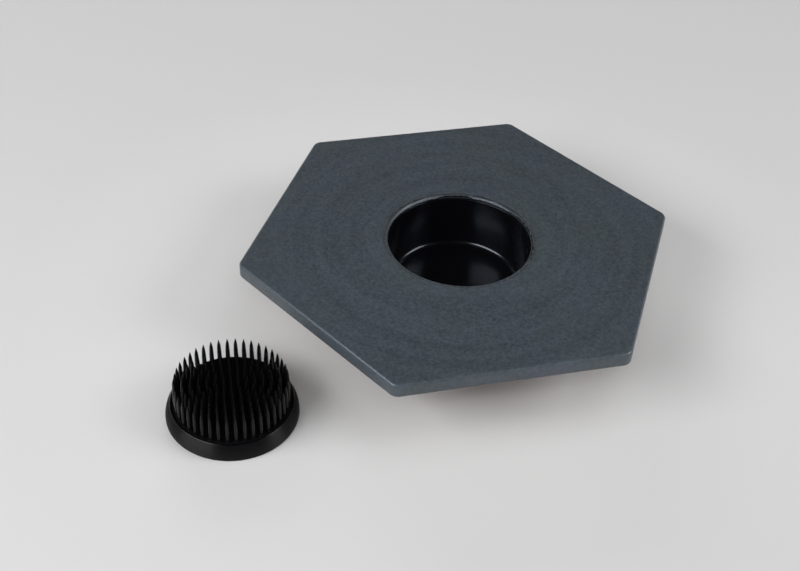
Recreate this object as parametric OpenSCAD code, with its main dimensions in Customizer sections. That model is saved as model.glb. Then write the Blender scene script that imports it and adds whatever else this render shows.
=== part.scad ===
// Hexagonal ikebana suiban: a stoneware plate with a deep round well in its middle, and the pin
// holder that goes into the well, standing on the table beside the plate.
// Millimetres. Z is up, z = 0 is the table, the Z axis is the axis of the well, and two corners of
// the plate lie on the X axis.

/* [Plate] */
// Width of the plate from flat to flat
across_flats = 200; // [180:1:240]
// Thickness of the plate
plate_t = 8; // [6:0.5:11]
// Radius of the six upright corners
corner_r = 5; // [3:0.5:9]
// Rounding of the upper edge
top_round = 1.5; // [0.6:0.1:2.4]
// Rounding of the lower edge
under_round = 1.2; // [0.6:0.1:2.4]

/* [Well] */
// Room between the pin holder's ring and the throat of the well, on each side
well_clear = 4.7; // [3:0.1:9]
// Depth from the top of the plate to the floor
well_depth = 31; // [28:0.5:36]
// Rounding of the lip
lip_r = 2.25; // [1:0.25:3]
// Length of the straight throat below the lip
throat_len = 12; // [8:0.5:13]
// How far the wall draws in between the throat and the floor's corner
draw_in = 1.7; // [0.8:0.1:2]
// Radius of the corner between wall and floor
floor_round = 3.2; // [2:0.1:4]
// Thickness of the gloss glaze that lines the well
glaze_t = 0.4; // [0.2:0.1:0.8]

/* [Bowl and foot] */
// Thickness of the clay round the throat
wall_t = 6; // [4.5:0.5:9]
// Thickness of the clay under the floor
floor_t = 6.5; // [4.5:0.5:9]
// Radius of the blend between bowl and plate
neck_round = 8; // [4:0.5:10]
// Radius of the bowl's lower outside edge
belly_round = 7; // [5:0.5:9]
// Height of the foot ring
foot_h = 3.5; // [2:0.5:6]
// Step from the bowl's lower edge in to the foot ring
foot_step = 1; // [0.5:0.5:3]
// Width of the foot ring
foot_w = 6.5; // [4:0.5:9]
// Rounding of the foot ring's edges
foot_round = 0.8; // [0.4:0.1:1.5]

/* [Pin holder base] */
// Radius of the metal base
base_r = 29.2; // [27:0.1:34]
// Thickness of the metal base
base_t = 6.8; // [6:0.1:9]
// Rounding of the base's upper edge
base_round = 0.8; // [0.4:0.1:1.5]
// Bevel of the base's lower edge
base_bevel = 0.5; // [0.3:0.1:1]

/* [Rubber ring] */
// Clearance between the base and the ring
ring_clear = 0.05; // [0.02:0.01:0.1]
// Width of the ring's lip
lip_w = 0.75; // [0.65:0.05:1.2]
// How far the lip rises above the base
lip_rise = 0.7; // [0.4:0.1:1.2]
// How far the rounded skirt flares out from the lip to the table
skirt_flare = 2.3; // [1.5:0.1:3]
// Height of the upright heel at the bottom of the skirt
heel_h = 1.2; // [0.9:0.1:2]
// Rounding of the heel
heel_round = 0.6; // [0.3:0.1:0.8]
// Rounding of the lip
lip_round = 0.3; // [0.1:0.05:0.3]
// Thickness of the flange that the base sits on
flange_t = 1.2; // [0.8:0.1:2]
// Width of that flange
flange_w = 7; // [4:0.5:10]

/* [Needles] */
// Margin on the base between the outer row and the rounded edge
row_margin = 0.3; // [0:0.1:2]
// Direction of the first needle in each row, in degrees
row_start = 86.6; // [0:0.1:359.9]
// Diameter of a needle
needle_d = 2.2; // [1.5:0.1:2.6]
// Height of a needle above the base
needle_h = 15.6; // [12:0.1:18]
// Depth that a needle is set into the base
needle_set = 4; // [2:0.5:5]
// Length of the slender part between shank and point
neck_len = 4.4; // [2:0.1:5]
// Length of the point
point_len = 3.4; // [2:0.1:5]
// Diameter where the point begins
point_d = 1.7; // [0.9:0.1:1.8]
// Diameter of the blunt end
tip_d = 0.2; // [0.1:0.05:0.4]

/* [Place on the table] */
// Direction of the pin holder from the dish, in degrees
beside_angle = 205.9; // [190:0.1:230]
// Gap between the edge of the plate and the ring, seen from above
beside_gap = 9.8; // [5:0.1:30]

/* [Hidden] */
$fn = 96;
SIDES = 6;
ROWS = 7;
// Steps in a quarter circle of an outline
arc_steps = 6;
// Steps along the shallow curve of the well's wall
wall_steps = 5;
// How far a cut runs past the face it leaves
overrun = 1;

// Radii and heights of the pin holder, from the base outwards and upwards
ring_bore = base_r + ring_clear;
lip_out_r = ring_bore + lip_w;
skirt_r = lip_out_r + skirt_flare;
base_top = flange_t + base_t;
ring_h = base_top + lip_rise;
row_pitch = (base_r - base_round - row_margin - needle_d / 2) / ROWS;

// The skirt is one curve, upright at the heel, that runs into the rounded lip without a break
skirt_rise = ring_h - lip_round - heel_h;
skirt_run = skirt_flare + lip_round;
skirt_round = (skirt_run ^ 2 + skirt_rise ^ 2 - lip_round ^ 2) / (2 * skirt_flare);
skirt_turn = asin(skirt_rise / (skirt_round - lip_round));

// Heights of the dish, from the table up
under_z = foot_h;
floor_z = under_z + floor_t;
top_z = floor_z + well_depth;
plate_z = top_z - plate_t;
throat_top = top_z - lip_r;
throat_end = throat_top - throat_len;
corner_z = floor_z + floor_round;

// Radii of the dish. The ring sets the throat, and the throat sets the flat part of the floor.
well_r = skirt_r + well_clear;
floor_flat_r = well_r - draw_in - floor_round;
bowl_r = well_r + wall_t;
foot_r = bowl_r - belly_round - foot_step;
foot_in_r = foot_r - foot_w;

// The well's wall is one curve, upright at the throat, that runs into the floor's corner without a
// break: its radius follows from the height it has and the distance it draws in
draw_in_h = throat_end - corner_z;
draw_in_w = well_r - floor_flat_r;
draw_in_r = (draw_in_w ^ 2 + draw_in_h ^ 2 - floor_round ^ 2) / (2 * draw_in);
draw_in_x = well_r - draw_in_r;
draw_in_turn = asin(draw_in_h / (draw_in_r - floor_round));

// The pin holder stands clear of the nearest flat of the plate
flat_turn = 180 / SIDES;
nearest_flat = flat_turn * (2 * floor(beside_angle / (2 * flat_turn)) + 1);
edge_dist = across_flats / 2 / cos(beside_angle - nearest_flat);
beside_dist = edge_dist + beside_gap + skirt_r;

// Points on an arc about [x, z], from one angle to another
function arc(x, z, r, from, to, steps = arc_steps) =
    [for (i = [0:steps]) let (a = from + (to - from) * i / steps) [x + r * cos(a), z + r * sin(a)]];

// The well's wall and corner from the throat's top to the floor, moved out by a skin thickness
function well_side(skin) = concat(
    [[well_r + skin, throat_top]],
    arc(draw_in_x, throat_end, draw_in_r + skin, 0, -draw_in_turn, wall_steps),
    arc(floor_flat_r, corner_z, floor_round + skin, -draw_in_turn, -90),
    [[0, floor_z - skin]]);

// One upright corner of the plate, with both edges rounded
module corner_post() {
    rotate_extrude($fn = SIDES * arc_steps)
        polygon(concat(
            [[0, plate_z]],
            arc(corner_r - under_round, plate_z + under_round, under_round, -90, 0, arc_steps / 2),
            arc(corner_r - top_round, top_z - top_round, top_round, 0, 90),
            [[0, top_z]]));
}

module plate() {
    post_dist = (across_flats / 2 - corner_r) / cos(flat_turn);
    hull()
        for (i = [1:SIDES])
            rotate(i * 360 / SIDES) translate([post_dist, 0, 0]) corner_post();
}

// The bowl under the plate, thrown with it and trimmed to a foot ring
module bowl() {
    rotate_extrude()
        polygon(concat(
            [[0, under_z], [foot_in_r, under_z]],
            arc(foot_in_r + foot_round, foot_round, foot_round, 180, 270, arc_steps / 2),
            arc(foot_r - foot_round, foot_round, foot_round, -90, 0, arc_steps / 2),
            [[foot_r, under_z]],
            arc(bowl_r - belly_round, under_z + belly_round, belly_round, -90, 0),
            arc(bowl_r + neck_round, plate_z - neck_round, neck_round, 180, 90),
            [[bowl_r + neck_round, plate_z + plate_t / 2], [0, plate_z + plate_t / 2]]));
}

// The fired stoneware piece: plate, bowl and foot in one
module dish() {
    color("#474e52")
        difference() {
            union() {
                plate();
                bowl();
            }
            rotate_extrude()
                polygon(concat(
                    [[0, top_z + overrun], [well_r + lip_r, top_z + overrun]],
                    arc(well_r + lip_r, throat_top, lip_r, 90, 180),
                    well_side(glaze_t)));
        }
}

// The black glaze, a thin layer of glass all over the inside of the well
module well_glaze() {
    inside = well_side(0);
    outside = well_side(glaze_t);
    color("#0b0b0d")
        rotate_extrude()
            polygon(concat(inside, [for (i = [len(outside) - 1:-1:0]) outside[i]]));
}

// Everything of the pin holder is drawn about its own axis and put in its place here
module beside() {
    translate([beside_dist * cos(beside_angle), beside_dist * sin(beside_angle), 0]) children();
}

module rubber_ring() {
    color("#17181a")
        beside()
            rotate_extrude()
                polygon(concat(
                    [[ring_bore - flange_w, 0]],
                    arc(skirt_r - heel_round, heel_round, heel_round, -90, 0, arc_steps / 2),
                    arc(skirt_r - skirt_round, heel_h, skirt_round, 0, skirt_turn),
                    arc(lip_out_r - lip_round, ring_h - lip_round, lip_round, skirt_turn, 90, arc_steps / 2),
                    arc(ring_bore + lip_round, ring_h - lip_round, lip_round, 90, 180, arc_steps / 2),
                    [[ring_bore, flange_t], [ring_bore - flange_w, flange_t]]));
}

// Places of the needles in a row: six more in each row than in the row inside it
module at_row(row) {
    count = SIDES * row;
    for (i = [0:count - 1])
        rotate(row_start + i * 360 / count) translate([row * row_pitch, 0, base_top]) children();
}

module needle_hole() {
    translate([0, 0, -needle_set]) cylinder(d = needle_d, h = needle_set + overrun);
}

module kenzan_base() {
    color("#0d0d0f")
        beside()
            difference() {
                rotate_extrude()
                    polygon(concat(
                        [[0, flange_t], [base_r - base_bevel, flange_t], [base_r, flange_t + base_bevel]],
                        arc(base_r - base_round, base_top - base_round, base_round, 0, 90, arc_steps / 2),
                        [[0, base_top]]));
                translate([0, 0, base_top]) needle_hole();
                for (row = [1:ROWS]) at_row(row) needle_hole();
            }
}

// One needle, drawn from the face of the base up, with its shank set into the base
module needle() {
    neck_z = needle_h - point_len - neck_len;
    rotate_extrude()
        polygon([
            [0, -needle_set], [needle_d / 2, -needle_set], [needle_d / 2, neck_z],
            [point_d / 2, needle_h - point_len], [tip_d / 2, needle_h], [0, needle_h]]);
}

module needle_centre() {
    color("#141517") beside() translate([0, 0, base_top]) needle();
}

module needle_row(row) {
    color("#141517") beside() at_row(row) needle();
}

dish();
well_glaze();
rubber_ring();
kenzan_base();
needle_centre();
needle_row(1);  // needle_row_1
needle_row(2);  // needle_row_2
needle_row(3);  // needle_row_3
needle_row(4);  // needle_row_4
needle_row(5);  // needle_row_5
needle_row(6);  // needle_row_6
needle_row(7);  // needle_row_7
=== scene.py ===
import bpy
import bmesh
import math
import random
from mathutils import Matrix, Vector


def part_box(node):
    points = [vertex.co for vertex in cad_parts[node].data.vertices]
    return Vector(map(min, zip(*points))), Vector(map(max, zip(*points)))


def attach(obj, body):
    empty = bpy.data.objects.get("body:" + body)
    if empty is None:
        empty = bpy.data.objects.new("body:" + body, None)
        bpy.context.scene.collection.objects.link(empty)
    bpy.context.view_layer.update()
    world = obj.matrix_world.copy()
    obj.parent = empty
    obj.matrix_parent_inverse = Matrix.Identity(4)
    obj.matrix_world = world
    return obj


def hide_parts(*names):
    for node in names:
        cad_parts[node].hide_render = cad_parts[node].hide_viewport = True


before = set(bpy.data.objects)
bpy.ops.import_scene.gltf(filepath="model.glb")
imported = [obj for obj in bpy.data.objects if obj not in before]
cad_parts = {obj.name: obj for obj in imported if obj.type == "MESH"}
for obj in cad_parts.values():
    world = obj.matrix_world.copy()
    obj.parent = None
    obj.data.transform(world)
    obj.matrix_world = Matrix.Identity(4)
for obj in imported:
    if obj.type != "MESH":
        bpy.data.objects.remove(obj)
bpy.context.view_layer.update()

# The dish: one piece of dark stoneware, a hexagonal plate 8 mm thick with a bowl thrown under it and
# a foot ring trimmed on the wheel. Its slate-grey matt glaze was brushed on and fired, and it breaks
# paler where it runs thin over an edge. The foot is wiped bare, so that it doesn't stick to the kiln.
mm = 0.001
across_flats = 200 * mm
plate_thickness = 8 * mm
corner_radius = 5 * mm
top_edge_round = 1.5 * mm
under_edge_round = 1.2 * mm
well_radius = 37 * mm
well_depth = 31 * mm
lip_round = 2.25 * mm
throat_length = 12 * mm
draw_in = 1.7 * mm
floor_round = 3.2 * mm
glaze_thickness = 0.4 * mm
wall_thickness = 6 * mm
neck_round = 8 * mm
belly_round = 7 * mm
foot_height = 3.5 * mm
foot_radius = 35 * mm
foot_width = 6.5 * mm
foot_round = 0.8 * mm
floor_height = 10 * mm
plate_top = floor_height + well_depth
plate_under = plate_top - plate_thickness
bowl_radius = well_radius + wall_thickness
shading_loop = 0.35 * mm
weld_distance = 0.001 * mm
level_tolerance = 0.01 * mm
wheel_steps = 144
corner_steps = 10


def linear(hex_colour):
    """An sRGB hex colour as the linear red, green, blue and alpha that a shader takes."""
    parts = [int(hex_colour[i:i + 2], 16) / 255 for i in (1, 3, 5)]
    return [p / 12.92 if p <= 0.04045 else ((p + 0.055) / 1.055) ** 2.4 for p in parts] + [1]


def node(surface, kind, values=(), links=(), **settings):
    """Adds one shader node with its settings, its sockets' values and what is linked into them."""
    made = surface.node_tree.nodes.new("ShaderNode" + kind)
    for name, value in settings.items():
        setattr(made, name, value)
    for socket, value in dict(values).items():
        made.inputs[socket].default_value = value
    for socket, source in dict(links).items():
        surface.node_tree.links.new(source, made.inputs[socket])
    return made


def surface_finish(name, values):
    """A new material, with the values of its one shader."""
    surface = bpy.data.materials.new(name)
    surface.use_nodes = True
    for socket, value in values.items():
        surface.node_tree.nodes["Principled BSDF"].inputs[socket].default_value = value
    return surface


def feed(surface, socket, source):
    """Links a node's output into the material's shader."""
    shader = surface.node_tree.nodes["Principled BSDF"]
    surface.node_tree.links.new(source, shader.inputs[socket])


def arc(x, z, radius, start, end, steps):
    """Points of an outline on an arc about (x, z), from one angle to another in degrees."""
    turns = [math.radians(start + (end - start) * i / steps) for i in range(steps + 1)]
    return [(x + radius * math.cos(t), z + radius * math.sin(t)) for t in turns]


def thrown(shape, outline, steps=wheel_steps, middle=Vector()):
    """Turns an outline of (radius, height) points about the upright axis through middle."""
    points = [shape.verts.new((radius, 0, height)) for radius, height in outline]
    lines = [shape.edges.new(pair) for pair in zip(points, points[1:])]
    before = set(shape.verts) - set(points)
    bmesh.ops.spin(shape, geom=points + lines, axis=(0, 0, 1), cent=(0, 0, 0), angle=2 * math.pi,
                   steps=steps, use_merge=True)
    made = [v for v in shape.verts if v not in before]
    bmesh.ops.translate(shape, verts=made, vec=middle)
    return made


def piece(name, shape, surface, body, nodes):
    """Makes the finished mesh an object that stands for its CAD nodes and moves with their body."""
    bmesh.ops.remove_doubles(shape, verts=shape.verts, dist=weld_distance)
    bmesh.ops.recalc_face_normals(shape, faces=shape.faces)
    for face in shape.faces:
        face.smooth = True
    mesh = bpy.data.meshes.new(name)
    shape.to_mesh(mesh)
    shape.free()
    mesh.materials.append(surface)
    made = bpy.data.objects.new(name, mesh)
    bpy.context.scene.collection.objects.link(made)
    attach(made, body)
    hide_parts(*nodes)
    return made


# The curve of the well's wall, which the glaze and the clay behind it share. A skin of 0 is the glaze's
# own face.
draw_height = plate_top - lip_round - throat_length - floor_height - floor_round
draw_radius = ((draw_in + floor_round) ** 2 + draw_height ** 2 - floor_round ** 2) / (2 * draw_in)
draw_turn = math.degrees(math.asin(draw_height / (draw_radius - floor_round)))
floor_flat = well_radius - draw_in - floor_round


def well_side(skin):
    return ([(well_radius + skin, plate_top - lip_round),
             (well_radius + skin, plate_top - lip_round - shading_loop)]
            + arc(well_radius - draw_radius, plate_top - lip_round - throat_length,
                  draw_radius + skin, 0, -draw_turn, 8)
            + arc(floor_flat, floor_height + floor_round, floor_round + skin, -draw_turn, -90, 10)[1:]
            + [(floor_flat - shading_loop, floor_height - skin), (0, floor_height - skin)])


corner_distance = across_flats / 2 / math.cos(math.pi / 6)
clay = bmesh.new()
rim = bmesh.ops.create_circle(clay, cap_ends=True, segments=6, radius=corner_distance)["verts"]
bmesh.ops.translate(clay, verts=rim, vec=(0, 0, plate_under))
bmesh.ops.rotate(clay, verts=rim, matrix=Matrix.Rotation(-math.atan2(rim[0].co.y, rim[0].co.x), 3, "Z"))
raised = bmesh.ops.extrude_face_region(clay, geom=clay.faces[:])["geom"]
bmesh.ops.translate(clay, verts=[g for g in raised if isinstance(g, bmesh.types.BMVert)],
                    vec=(0, 0, plate_thickness))
upright = [e for e in clay.edges if abs(e.verts[0].co.z - e.verts[1].co.z) > plate_thickness / 2]
bmesh.ops.bevel(clay, geom=upright, offset=corner_radius * math.tan(math.pi / 6), affect="EDGES",
                segments=corner_steps, profile=0.5, material=-1)
for level, rounding in ((plate_top, top_edge_round), (plate_under, under_edge_round)):
    edges = [e for e in clay.edges if all(abs(v.co.z - level) < level_tolerance for v in e.verts)]
    bmesh.ops.bevel(clay, geom=edges, offset=rounding, affect="EDGES", segments=6, profile=0.5,
                    material=-1)
flats = [f for f in clay.faces if abs(f.normal.z) > 0.999 and len(f.verts) > 12]
bmesh.ops.inset_region(clay, faces=flats, thickness=shading_loop, use_even_offset=True)
bmesh.ops.delete(clay, geom=[f for f in flats if f.is_valid], context="FACES_ONLY")
thrown(clay,
       [(well_radius + lip_round + shading_loop, plate_top)]
       + arc(well_radius + lip_round, plate_top - lip_round, lip_round, 90, 180, 12)
       + well_side(glaze_thickness))
thrown(clay,
       [(0, foot_height), (foot_radius - foot_width - shading_loop, foot_height),
        (foot_radius - foot_width, foot_height)]
       + arc(foot_radius - foot_width + foot_round, foot_round, foot_round, 180, 270, 5)
       + arc(foot_radius - foot_round, foot_round, foot_round, -90, 0, 5)
       + [(foot_radius, foot_height), (foot_radius + shading_loop, foot_height)]
       + arc(bowl_radius - belly_round, foot_height + belly_round, belly_round, -90, 0, 12)
       + arc(bowl_radius + neck_round, plate_under - neck_round, neck_round, 180, 90, 12)
       + [(bowl_radius + neck_round + shading_loop, plate_under)])
bmesh.ops.remove_doubles(clay, verts=clay.verts, dist=weld_distance)
for level in (plate_top, plate_under):
    loops = [e for e in clay.edges if e.is_boundary
             and all(abs(v.co.z - level) < level_tolerance for v in e.verts)]
    bmesh.ops.triangle_fill(clay, edges=loops, use_beauty=True, normal=(0, 0, 1))

# Matt slate glaze on stoneware: brushed on in turns of the wheel, rubbed back and fired. It gives the
# eye a dark blue-grey with hardly any cloud in it, faint rings, a sandy grain with some paler grains,
# and a paler line along each edge, partly where it runs thin and partly a painted highlight. The sides
# are painted lighter, as painted light. Black glaze from the well shows on the lip, and the underside
# is bare brown clay.
slate_glaze = surface_finish("matt_slate_glaze_fired", {
    "IOR": 1.48, "Specular Tint": linear("#dcecff"), "Coat Roughness": 0.3})
spot = node(slate_glaze, "TexCoord").outputs
height = node(slate_glaze, "SeparateXYZ", links={"Vector": spot["Object"]}).outputs["Z"]
across = node(slate_glaze, "VectorMath", {1: (1, 1, 0)}, {0: spot["Object"]},
              operation="MULTIPLY").outputs[0]
from_axis = node(slate_glaze, "VectorMath", links={0: across}, operation="LENGTH").outputs["Value"]
round_axis = node(slate_glaze, "VectorMath", links={0: across}, operation="NORMALIZE").outputs[0]
bearing = node(slate_glaze, "SeparateXYZ", links={"Vector": round_axis}).outputs
facing_up = node(slate_glaze, "SeparateXYZ", links={"Vector": spot["Normal"]}).outputs["Z"]

# Throwing rings, 7 mm from one to the next with finer ones between, that fade in and out on their way
# round the plate.
ring_pitch = 7 * mm
ring_depth = 0.1 * mm
ring_fade = 0.8
ring_turn = node(slate_glaze, "Math", {1: ring_pitch}, {0: from_axis}, operation="DIVIDE").outputs[0]
fade_x = node(slate_glaze, "Math", {1: ring_fade}, {0: bearing["X"]}, operation="MULTIPLY").outputs[0]
fade_y = node(slate_glaze, "Math", {1: ring_fade}, {0: bearing["Y"]}, operation="MULTIPLY").outputs[0]
ring_place = node(slate_glaze, "CombineXYZ", links={"X": ring_turn, "Y": fade_x, "Z": fade_y}).outputs[0]
rings = node(slate_glaze, "TexNoise", {"Scale": 1, "Detail": 3, "Roughness": 0.6},
             {"Vector": ring_place}).outputs["Fac"]

# Clouds, a grain from 1.6 mm down to 0.2 mm, and paler grains 2.2 mm apart. The real grit is finer, and
# is drawn as coarse as it needs to be to show.
cloud_size = 30 * mm
grain_size = 1.6 * mm
pale_grain_pitch = 2.2 * mm
clouds = node(slate_glaze, "TexNoise", {"Scale": 1 / cloud_size, "Detail": 3, "Roughness": 0.55},
              {"Vector": spot["Object"]}).outputs["Fac"]
grain = node(slate_glaze, "TexNoise", {"Scale": 1 / grain_size, "Detail": 3, "Roughness": 0.8},
             {"Vector": spot["Object"]}).outputs["Fac"]
grains = node(slate_glaze, "TexVoronoi", {"Scale": 1 / pale_grain_pitch}, {"Vector": spot["Object"]})
pale_grain = node(slate_glaze, "MapRange", {"From Min": 0.09, "From Max": 0.17, "To Min": 1, "To Max": 0},
                  {"Value": grains.outputs["Distance"]}).outputs["Result"]

# How much lighter or darker each of these makes the slate. The sides' lightening is painted light, and
# the edges' is partly a painted highlight.
ring_contrast = 0.13
grain_contrast = 0.4
pale_grain_light = 0.3
painted_side_light = 0.25
edge_pale_and_highlight = 0.3
lip_dark = 0.36
cloud_mix = node(slate_glaze, "MapRange", {"From Min": 0.38, "From Max": 0.62},
                 {"Value": clouds}).outputs["Result"]
slate = node(slate_glaze, "Mix", {"A": linear("#3c4347"), "B": linear("#3c434a")},
             {"Factor": cloud_mix}, data_type="RGBA").outputs[2]
ring_light = node(slate_glaze, "MapRange", {
    "From Min": 0.3, "From Max": 0.7, "To Min": 1 - ring_contrast, "To Max": 1 + ring_contrast},
    {"Value": rings}).outputs["Result"]
grain_light = node(slate_glaze, "MapRange", {
    "From Min": 0.3, "From Max": 0.7, "To Min": -grain_contrast, "To Max": grain_contrast},
    {"Value": grain}).outputs["Result"]
tone_and_painted_light = node(slate_glaze, "Math", links={0: ring_light, 1: grain_light}, operation="ADD").outputs[0]
tone_and_painted_light = node(slate_glaze, "Math", {1: pale_grain_light}, {0: pale_grain, 2: tone_and_painted_light},
           operation="MULTIPLY_ADD").outputs[0]

# On the well's lip the slate is drawn darker, glossier and more pitted. The plate's sides are painted
# lighter for the light they catch, and the edges paler still: partly glaze run thin, partly a painted
# highlight.
lip_start = well_radius + lip_round
lip = node(slate_glaze, "MapRange", {"From Min": lip_start + 1.2 * mm, "From Max": lip_start - 0.4 * mm},
           {"Value": from_axis}, interpolation_type="SMOOTHSTEP").outputs["Result"]
side_painted_lighter = node(slate_glaze, "MapRange", {"From Min": 0.9, "From Max": 0.2, "To Max": painted_side_light},
            {"Value": facing_up}).outputs["Result"]
edge_in = node(slate_glaze, "MapRange", {"From Min": 0.35, "From Max": 0.65},
               {"Value": facing_up}, interpolation_type="SMOOTHSTEP").outputs["Result"]
edge_out = node(slate_glaze, "MapRange", {"From Min": 0.98, "From Max": 0.8},
                {"Value": facing_up}, interpolation_type="SMOOTHSTEP").outputs["Result"]
edge = node(slate_glaze, "Math", links={0: edge_in, 1: edge_out}, operation="MULTIPLY").outputs[0]
off_lip = node(slate_glaze, "Math", {0: 1}, {1: lip}, operation="SUBTRACT").outputs[0]
edge = node(slate_glaze, "Math", links={0: edge, 1: off_lip}, operation="MULTIPLY").outputs[0]
# Painted light: faces turned to the side are made lighter, for the light the plate's sides catch.
tone_and_painted_light = node(slate_glaze, "Math", links={0: side_painted_lighter, 1: off_lip, 2: tone_and_painted_light}, operation="MULTIPLY_ADD").outputs[0]
# Partly a painted highlight: the rounded edges are made paler, partly for glaze run thin over them.
tone_and_painted_light = node(slate_glaze, "Math", {1: edge_pale_and_highlight}, {0: edge, 2: tone_and_painted_light}, operation="MULTIPLY_ADD").outputs[0]
tone_and_painted_light = node(slate_glaze, "Math", {1: -lip_dark}, {0: lip, 2: tone_and_painted_light}, operation="MULTIPLY_ADD").outputs[0]
slate = node(slate_glaze, "HueSaturation", links={"Color": slate, "Value": tone_and_painted_light}).outputs[0]

# The black glaze was poured out of the well towards the front right, so its ragged line lies close
# under the plate's top there, and 1.6 mm lower at the back left. At the back the black reaches 0.85 mm
# further up the lip. The slate glaze stops short of the plate's underside in the same ragged way.
ragged_height = 1.2 * mm
pour_slope = 0.8 * mm
poured_to = (0.5, -0.866, 0)
climb_height = 0.85 * mm
climbs_at = (0.2, 0.98, 0)
black_end = plate_top - 0.08 * mm
slate_end = plate_under + 1.5 * mm
ragged = node(slate_glaze, "TexNoise", {"Scale": 1 / grain_size, "Detail": 2},
              {"Vector": spot["Object"]}).outputs["Fac"]
wander = node(slate_glaze, "Math", {1: ragged_height}, {0: ragged, 2: height},
              operation="MULTIPLY_ADD").outputs[0]
poured = node(slate_glaze, "VectorMath", {1: poured_to}, {0: round_axis},
              operation="DOT_PRODUCT").outputs["Value"]
line = node(slate_glaze, "Math", {1: -pour_slope}, {0: poured, 2: wander},
            operation="MULTIPLY_ADD").outputs[0]
at_back = node(slate_glaze, "VectorMath", {1: climbs_at}, {0: round_axis},
               operation="DOT_PRODUCT").outputs["Value"]
climb = node(slate_glaze, "MapRange", {"From Min": 0.96, "From Max": 0.985, "To Max": climb_height},
             {"Value": at_back}).outputs["Result"]
line = node(slate_glaze, "Math", links={0: line, 1: climb}, operation="SUBTRACT").outputs[0]
run_up = node(slate_glaze, "MapRange", {"From Min": black_end, "From Max": black_end - 0.15 * mm},
              {"Value": line}).outputs["Result"]
inside = node(slate_glaze, "MapRange", {"From Min": lip_start + 0.2 * mm, "From Max": lip_start - 0.8 * mm},
              {"Value": from_axis}).outputs["Result"]
above = node(slate_glaze, "Math", {1: plate_under}, {0: height}, operation="GREATER_THAN").outputs[0]
black = node(slate_glaze, "Math", links={0: inside, 1: above}, operation="MULTIPLY").outputs[0]
black = node(slate_glaze, "Math", links={0: run_up, 1: black}, operation="MULTIPLY").outputs[0]
bare = node(slate_glaze, "MapRange", {"From Min": slate_end, "From Max": slate_end - 0.2 * mm},
            {"Value": wander}).outputs["Result"]
clay_colour = node(slate_glaze, "Mix", {"A": linear("#6b5347"), "B": linear("#7c6355")},
                   {"Factor": grain}, data_type="RGBA").outputs[2]
colour = node(slate_glaze, "Mix", links={"Factor": bare, "A": slate, "B": clay_colour},
              data_type="RGBA").outputs[2]
colour = node(slate_glaze, "Mix", {"B": linear("#08080a")}, {"Factor": black, "A": colour},
              data_type="RGBA").outputs[2]
feed(slate_glaze, "Base Color", colour)

# How rough, glossy and pitted the slate, the black and the bare clay are.
matt_roughness = 0.62
clay_roughness = 0.9
black_glaze_roughness = 0.2
grit_depth = 0.09 * mm
rough = node(slate_glaze, "Math", {1: -0.27, 2: matt_roughness}, {0: edge},
             operation="MULTIPLY_ADD").outputs[0]
rough = node(slate_glaze, "Math", {1: -0.24}, {0: lip, 2: rough}, operation="MULTIPLY_ADD").outputs[0]
rough = node(slate_glaze, "Mix", {"B": clay_roughness}, {"Factor": bare, "A": rough}).outputs[0]
rough = node(slate_glaze, "Mix", {"B": black_glaze_roughness}, {"Factor": black, "A": rough}).outputs[0]
feed(slate_glaze, "Roughness", rough)
shine = node(slate_glaze, "Math", {1: 0.5, 2: 0.6}, {0: lip}, operation="MULTIPLY_ADD").outputs[0]
feed(slate_glaze, "Specular IOR Level", shine)
coat = node(slate_glaze, "Math", {1: 0.5, 2: 0.5}, {0: lip}, operation="MULTIPLY_ADD").outputs[0]
coat = node(slate_glaze, "Mix", {"B": 0}, {"Factor": black, "A": coat}).outputs[0]
feed(slate_glaze, "Coat Weight", coat)
grit = node(slate_glaze, "Math", {1: 3.5, 2: 1}, {0: lip}, operation="MULTIPLY_ADD").outputs[0]
grit = node(slate_glaze, "Mix", {"B": 0.3}, {"Factor": black, "A": grit}).outputs[0]
grit = node(slate_glaze, "Math", links={0: grain, 1: grit}, operation="MULTIPLY").outputs[0]
relief = node(slate_glaze, "Bump", {"Distance": ring_depth}, {"Height": rings}).outputs[0]
relief = node(slate_glaze, "Bump", {"Distance": grit_depth}, {"Height": grit, "Normal": relief}).outputs[0]
feed(slate_glaze, "Normal", relief)
feed(slate_glaze, "Coat Normal", relief)
piece("stoneware_dish", clay, slate_glaze, "dish", ["dish"])

# The glaze in the well: a gloss black glass, poured in and poured out again, that lines the throat,
# the wall and the floor 0.4 mm thick, so that the bare clay holds no water.
lining = bmesh.new()
thrown(lining, well_side(0)[::-1] + well_side(glaze_thickness))
# Gloss black glaze: it gives the eye a deep black, with soft bluish reflections that waver a little.
wave_length = 7 * mm
wave_depth = 0.05 * mm
black_glaze = surface_finish("gloss_black_glaze_poured", {
    "Base Color": linear("#0a0a0e"), "Roughness": black_glaze_roughness, "IOR": 1.5,
    "Specular IOR Level": 0.58, "Specular Tint": linear("#e8f1ff")})
in_well = node(black_glaze, "TexCoord").outputs["Object"]
waves = node(black_glaze, "TexNoise", {"Scale": 1 / wave_length, "Detail": 1}, {"Vector": in_well})
relief = node(black_glaze, "Bump", {"Distance": wave_depth}, {"Height": waves.outputs["Fac"]})
feed(black_glaze, "Normal", relief.outputs[0])
piece("well_glaze_lining", lining, black_glaze, "dish", ["well_glaze"])

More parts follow.
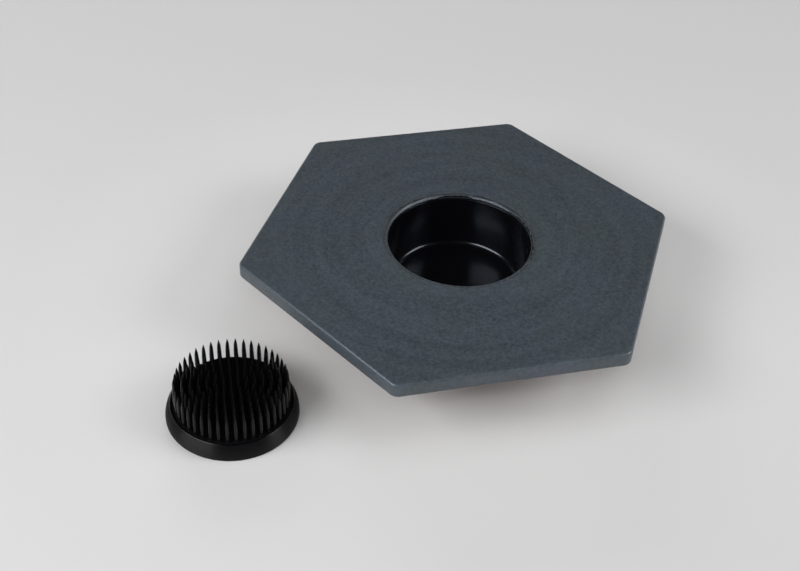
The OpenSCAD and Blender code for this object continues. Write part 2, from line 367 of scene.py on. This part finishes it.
# The rubber ring: moulded black rubber round the metal, with a sloping skirt, a thin lip above the
# metal and a flange under it. It keeps the metal from scratching the glaze.
low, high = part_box("rubber_ring")
holder_middle = Vector(((low.x + high.x) / 2, (low.y + high.y) / 2, 0))
base_radius = 29.2 * mm
base_top = 8 * mm
ring_bore = 29.25 * mm
lip_outside = 30 * mm
skirt_radius = 32.3 * mm
ring_height = 8.7 * mm
heel_height = 1.2 * mm
heel_round = 0.6 * mm
outer_lip_round = 0.6 * mm
inner_lip_round = 0.15 * mm
skirt_rise = ring_height - outer_lip_round - heel_height
skirt_run = skirt_radius - lip_outside + outer_lip_round
skirt_round = ((skirt_run ** 2 + skirt_rise ** 2 - outer_lip_round ** 2)
               / (2 * (skirt_run - outer_lip_round)))
skirt_turn = math.degrees(math.asin(skirt_rise / (skirt_round - outer_lip_round)))
flange_thickness = 1.2 * mm
flange_width = 7 * mm
ring = bmesh.new()
inner = (ring_bore - flange_width, 0)
thrown(ring,
       [inner]
       + arc(skirt_radius - heel_round, heel_round, heel_round, -90, 0, 5)
       + arc(skirt_radius - skirt_round, heel_height, skirt_round, 0, skirt_turn, 14)
       + arc(lip_outside - outer_lip_round, ring_height - outer_lip_round, outer_lip_round,
             skirt_turn, 90, 6)[1:]
       + arc(ring_bore + inner_lip_round, ring_height - inner_lip_round, inner_lip_round, 90, 180, 4)[1:]
       + [(ring_bore, flange_thickness), (ring_bore - flange_width, flange_thickness), inner],
       middle=holder_middle)
# Moulded rubber: a deep black with a satin gloss. Fine rings left by the turned mould draw a lamp's
# reflection out into an upright streak, and the lip is rubbed smooth. The faint pebble is coarser than
# the real one, so that it shows.
pebble_size = 0.9 * mm
pebble_depth = 0.02 * mm
skirt_top = ring_height - 0.3 * mm
lip_roughness = 0.2
skirt_roughness = 0.43
rubber = surface_finish("black_rubber_moulded", {
    "Base Color": linear("#060608"), "IOR": 1.5, "Specular IOR Level": 0.28,
    "Anisotropic Rotation": 0.25})
on_ring = node(rubber, "TexCoord").outputs["Object"]
up_ring = node(rubber, "SeparateXYZ", links={"Vector": on_ring}).outputs["Z"]
on_skirt = node(rubber, "MapRange", {"From Min": skirt_top, "From Max": skirt_top - 0.3 * mm},
                {"Value": up_ring}).outputs["Result"]
rough = node(rubber, "Mix", {"A": lip_roughness, "B": skirt_roughness}, {"Factor": on_skirt}).outputs[0]
feed(rubber, "Roughness", rough)
feed(rubber, "Anisotropic", on_skirt)
pebble = node(rubber, "TexNoise", {"Scale": 1 / pebble_size, "Detail": 2}, {"Vector": on_ring})
relief = node(rubber, "Bump", {"Distance": pebble_depth}, {"Height": pebble.outputs["Fac"]})
feed(rubber, "Normal", relief.outputs[0])
piece("rubber_ring_moulded", ring, rubber, "ring", ["rubber_ring"])

# The pin holder's base: a heavy disc of cast lead alloy, dipped in black lacquer with its needles in
# place, so that the lacquer creeps a little way up each needle.
base_round = 0.8 * mm
base_bevel = 0.5 * mm
disc = bmesh.new()
thrown(disc,
       [(0, flange_thickness), (base_radius - base_bevel - shading_loop, flange_thickness),
        (base_radius - base_bevel, flange_thickness), (base_radius, flange_thickness + base_bevel)]
       + arc(base_radius - base_round, base_top - base_round, base_round, 0, 90, 6)
       + [(base_radius - base_round - shading_loop, base_top), (0, base_top)],
       middle=holder_middle)
# Dipped lacquer: a gloss black with slow runs in it, that gathers in a small fillet round each
# needle's foot.
run_length = 2.5 * mm
run_depth = 0.06 * mm
lacquer = surface_finish("black_lacquer_dipped", {
    "Base Color": linear("#0f0f11"), "Roughness": 0.15, "IOR": 1.5, "Specular IOR Level": 0.16})
on_metal = node(lacquer, "TexCoord").outputs["Object"]
runs = node(lacquer, "TexNoise", {"Scale": 1 / run_length, "Detail": 1}, {"Vector": on_metal})
relief = node(lacquer, "Bump", {"Distance": run_depth}, {"Height": runs.outputs["Fac"]})
feed(lacquer, "Normal", relief.outputs[0])
piece("pin_holder_base", disc, lacquer, "pins", ["kenzan_base"])

# The needles: brass wire, pointed, set upright in the base in rings of six more each time, and
# lacquered with it. By hand and by press, no two stand quite alike.
needle_rows = 7
outer_row_radius = 27 * mm
row_pitch = outer_row_radius / needle_rows
row_start = math.radians(86.6)
needle_radius = 1.1 * mm
needle_height = 15.6 * mm
needle_set = 4 * mm
needle_sides = 8
lean_most = math.radians(0.35)
hand = random.Random(42)
# The lacquer's fillet as how far it reaches out from the wire and how high, and the point as its
# radius at each height.
fillet_foot = 0.1 * mm
fillet = [(0.52 * mm, 0), (0.12 * mm, 0.22 * mm), (0, 0.8 * mm)]
shank_height = 7.4 * mm
point = [(0.93 * mm, 10.9 * mm), (0.8 * mm, 12.4 * mm), (0.56 * mm, 13.6 * mm), (0.3 * mm, 14.7 * mm),
         (0.1 * mm, 15.5 * mm)]
needle_outline = ([(0, -needle_set), (needle_radius, -needle_set), (needle_radius, -fillet_foot)]
                  + [(needle_radius + reach, rise) for reach, rise in fillet]
                  + [(needle_radius, shank_height)] + point + [(0, needle_height)])
for row in range(needle_rows + 1):
    count = max(1, 6 * row)
    needles = bmesh.new()
    for place_in_row in range(count):
        turn = row_start + 2 * math.pi * place_in_row / count
        made = thrown(needles, needle_outline, needle_sides)
        lean = Matrix.Rotation(hand.uniform(-lean_most, lean_most), 3, "X") @ \
            Matrix.Rotation(hand.uniform(-lean_most, lean_most), 3, "Y")
        bmesh.ops.rotate(needles, verts=made, matrix=lean)
        out = row * row_pitch
        foot = holder_middle + Vector((out * math.cos(turn), out * math.sin(turn), base_top))
        bmesh.ops.translate(needles, verts=made, vec=foot)
    name = "needle_centre" if row == 0 else f"needle_row_{row}"
    piece(name.replace("needle", "needles"), needles, lacquer, "pins", [name])

# The table is a plain sheet of pale grey paper. Its colour is painted a little darker away from the
# dish, as painted shade for the light falling off there. Past the lamps, where their light falls off,
# it and the room show to the eye, and in anything glossy, as an even pale grey that lights nothing.
backdrop_grey = 0.66
table_size = 8
falloff_from, falloff_to = 0.12, 0.25
backdrop_from, backdrop_to = 0.65, 1.1
table = bmesh.new()
bmesh.ops.create_grid(table, x_segments=1, y_segments=1, size=table_size / 2)
table_mesh = bpy.data.meshes.new("table")
table.to_mesh(table_mesh)
table.free()
# Uncoated paper: a pale grey with no shine, painted a little darker away from the dish as shade.
paper = surface_finish("pale_grey_uncoated_paper", {"Roughness": 0.9, "Emission Color": (1, 1, 1, 1)})
ray = node(paper, "LightPath").outputs
seen = node(paper, "Math", links={0: ray["Is Glossy Ray"], 1: ray["Is Transmission Ray"]}, operation="ADD")
seen = node(paper, "Math", links={0: ray["Is Camera Ray"], 1: seen.outputs[0]}, operation="ADD")
on_table = node(paper, "TexCoord").outputs["Object"]
reach = node(paper, "VectorMath", links={0: on_table}, operation="LENGTH").outputs["Value"]
far = node(paper, "MapRange", {"From Min": backdrop_from, "From Max": backdrop_to}, {"Value": reach},
           interpolation_type="SMOOTHSTEP").outputs["Result"]
far = node(paper, "Math", links={0: far, 1: seen.outputs[0]}, operation="MULTIPLY").outputs[0]
# Painted shade: the paper is made darker away from the dish, for the light falling off.
painted_falloff = node(paper, "MapRange", {"From Min": falloff_from, "From Max": falloff_to}, {"Value": reach},
                interpolation_type="SMOOTHSTEP").outputs["Result"]
pale = node(paper, "Mix", {"A": linear("#dadada"), "B": linear("#d3d3d3")}, {"Factor": painted_falloff},
            data_type="RGBA").outputs[2]
pale = node(paper, "Mix", {"B": (0, 0, 0, 1)}, {"Factor": far, "A": pale}, data_type="RGBA").outputs[2]
feed(paper, "Base Color", pale)
shown = node(paper, "Math", {1: backdrop_grey}, {0: far}, operation="MULTIPLY").outputs[0]
feed(paper, "Emission Strength", shown)
table_mesh.materials.append(paper)
floor = bpy.data.objects.new("table", table_mesh)
bpy.context.scene.collection.objects.link(floor)

# The lamps: two softboxes, at the left and the right, that show in everything glossy, and three wide
# soft lights that don't, for what the white walls and ceiling of the room throw back.
lamps_aim = Vector((-0.03, -0.03, 0.02))


def softbox(name, azimuth, elevation, distance, width, tall, strength):
    """A lamp with a wide white front, at an azimuth and elevation in degrees, that faces the pieces."""
    lamp = bpy.data.lights.new(name, "AREA")
    lamp.shape = "RECTANGLE"
    lamp.size, lamp.size_y = width, tall
    lamp.energy = strength
    made = bpy.data.objects.new(name, lamp)
    bpy.context.scene.collection.objects.link(made)
    turn, rise = math.radians(azimuth), math.radians(elevation)
    towards = Vector((math.cos(turn) * math.cos(rise), math.sin(turn) * math.cos(rise), math.sin(rise)))
    made.matrix_world = Matrix.Translation(lamps_aim + towards * distance) @ \
        towards.to_track_quat("Z", "Y").to_matrix().to_4x4()
    return made


softbox("left_softbox", azimuth=199, elevation=36, distance=1.3, width=1.05, tall=0.5, strength=12.1)
softbox("right_softbox", azimuth=339, elevation=34, distance=1.5, width=0.85, tall=0.58, strength=8.6)
for wall in (
        softbox("front_wall", azimuth=255, elevation=46, distance=1.5, width=0.8, tall=0.53, strength=3.9),
        softbox("ceiling", azimuth=0, elevation=70, distance=1.5, width=1.0, tall=1.0, strength=3.4),
        softbox("back_wall", azimuth=90, elevation=20, distance=1.6, width=1.16, tall=0.56, strength=9.6)):
    wall.visible_glossy = False

# The room is dim, and darker still in the gloss. Glossy surfaces see the pale backdrop only low down.
room_light = 0.08
room_in_gloss = 0.02
room = bpy.data.worlds.new("room")
bpy.context.scene.world = room
room.use_nodes = True
around = room.node_tree.nodes["Background"]
around.inputs["Color"].default_value = (1, 1, 1, 1)
ray = node(room, "LightPath").outputs
rise = node(room, "SeparateXYZ", links={"Vector": node(room, "TexCoord").outputs["Generated"]}).outputs["Z"]
low_down = node(room, "MapRange", {"From Min": 0.3, "From Max": 0.1}, {"Value": rise}).outputs["Result"]
seen = node(room, "Math", links={0: ray["Is Glossy Ray"], 1: ray["Is Transmission Ray"]}, operation="ADD")
seen = node(room, "Math", links={0: seen.outputs[0], 1: low_down, 2: ray["Is Camera Ray"]},
            operation="MULTIPLY_ADD")
overhead = node(room, "MapRange", {"To Min": room_light, "To Max": room_in_gloss},
                {"Value": ray["Is Glossy Ray"]})
glow = node(room, "Mix", {"B": backdrop_grey}, {"Factor": seen.outputs[0], "A": overhead.outputs["Result"]})
room.node_tree.links.new(glow.outputs[0], around.inputs["Strength"])

# The camera stands in front and a little to the left, and looks down on the dish at 40 degrees. Its
# place was worked out from where the plate's six corners lie in the picture, in lengths from the
# plate's middle to a corner.
azimuth = math.radians(-15.11)
elevation = math.radians(40.36)
roll = math.radians(2.96)
aim = Vector((-0.33843 * corner_distance, -0.27241 * corner_distance, plate_top))
camera_distance = 5.63023 * corner_distance
back = Vector((math.sin(azimuth) * math.cos(elevation), -math.cos(azimuth) * math.cos(elevation),
               math.sin(elevation)))
right = Vector((math.cos(azimuth), math.sin(azimuth), 0))
up = back.cross(right)
tilted_right = right * math.cos(roll) + up * math.sin(roll)
tilted_up = up * math.cos(roll) - right * math.sin(roll)
lens = bpy.data.cameras.new("camera")
lens.sensor_width = 36
lens.lens = 58.94
camera = bpy.data.objects.new("camera", lens)
bpy.context.scene.collection.objects.link(camera)
camera.matrix_world = Matrix.Translation(aim + back * camera_distance) @ \
    Matrix((tilted_right, tilted_up, back)).transposed().to_4x4()
bpy.context.scene.camera = camera
bpy.context.scene.view_settings.view_transform = "Standard"
